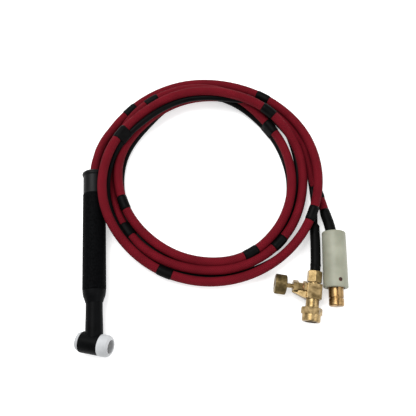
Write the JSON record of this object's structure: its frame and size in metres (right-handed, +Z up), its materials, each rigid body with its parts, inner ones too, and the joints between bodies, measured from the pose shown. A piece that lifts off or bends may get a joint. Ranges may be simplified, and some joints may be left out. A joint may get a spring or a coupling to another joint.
{
  "type": "welding torch",
  "caption": "Air-cooled hand torch for arc welding with a tungsten electrode: round handle, angled head, coiled lead with a braided cable, a gas hose, a twist-lock plug and a needle valve.",
  "frame": {"origin": "below the middle of the torch without its lead, on the surface that it lies on", "axes": "+Y along the handle from the head to the end where the lead goes in, +Z up, +X towards the coiled lead"},
  "size_m": [0.2448, 0.267, 0.0276],
  "materials": {
    "black_rubber": "moulded, semi-matt",
    "grip_rubber": "fine grained, matt",
    "handle_plastic": "smooth, semi-gloss",
    "white_plastic": "matt",
    "red_braid": "braided, matt",
    "black_hose": "smooth, semi-matt",
    "black_sleeve": "heat shrunk, satin",
    "boot_plastic": "moulded, matt",
    "pin_brass": "drawn, a little dulled",
    "brass": "machined, dulled",
    "knob_brass": "knurled, dulled",
    "copper": "bare, dulled",
    "steel": "plain",
    "screw_brown": "dark, tarnished"
  },
  "bodies": {
    "torch": {"head_body": "black_rubber", "head_core": "brass", "neck_tube": "copper", "front_insulator": "white_plastic", "rear_insulator": "white_plastic", "handle_tube": "handle_plastic", "grip_sleeve": "grip_rubber", "handle_nose": "black_rubber", "power_block": "brass", "cable_ferrule": "copper", "gas_barb": "brass", "barb_clip": "steel", "cable_start": "red_braid", "hose_start": "black_hose", "lead_coil": "red_braid", "shrink_bands": "black_sleeve", "cable_end": "red_braid", "cable_sleeve": "black_sleeve", "hose_end": "black_hose", "hose_sleeve": "black_sleeve", "plug_boot": "boot_plastic", "plug_pin": "pin_brass", "plug_crimp": "copper", "cable_core": "copper", "clamp_screws": "steel", "boot_screw": "screw_brown", "hose_ferrule": "brass", "hose_nipple": "brass", "hose_nut": "brass", "valve_body": "brass", "valve_bonnet": "brass", "bonnet_washer": "copper", "stem_packing": "white_plastic", "packing_nut": "brass", "outlet_nipple": "brass", "outlet_seal": "black_sleeve"},
    "stem": {"valve_stem": "brass"},
    "knob": {"valve_knob": "knob_brass", "knob_screw": "steel"},
    "swivel_nut": {"outlet_nut": "brass"}
  },
  "joints": [
    {"name": "stem_travel", "type": "slide", "parent": "torch", "child": "stem", "axis": [-0.977, 0.213, 0], "range_m": [0, 0.002]},
    {"name": "knob_turn", "type": "hinge", "parent": "stem", "child": "knob", "pos_m": [0.16374, -0.03287, 0.0092], "axis": [-0.977, 0.213, 0], "range_deg": [0, 720]},
    {"name": "outlet_nut_turn", "type": "hinge", "parent": "torch", "child": "swivel_nut", "pos_m": [0.18824, -0.06134, 0.0092], "axis": [-0.213, -0.977, 0], "continuous": true}
  ],
  "couplings": [
    {"joint": "stem_travel", "follows": "knob_turn", "m_per_rad": 0.000159}
  ]
}
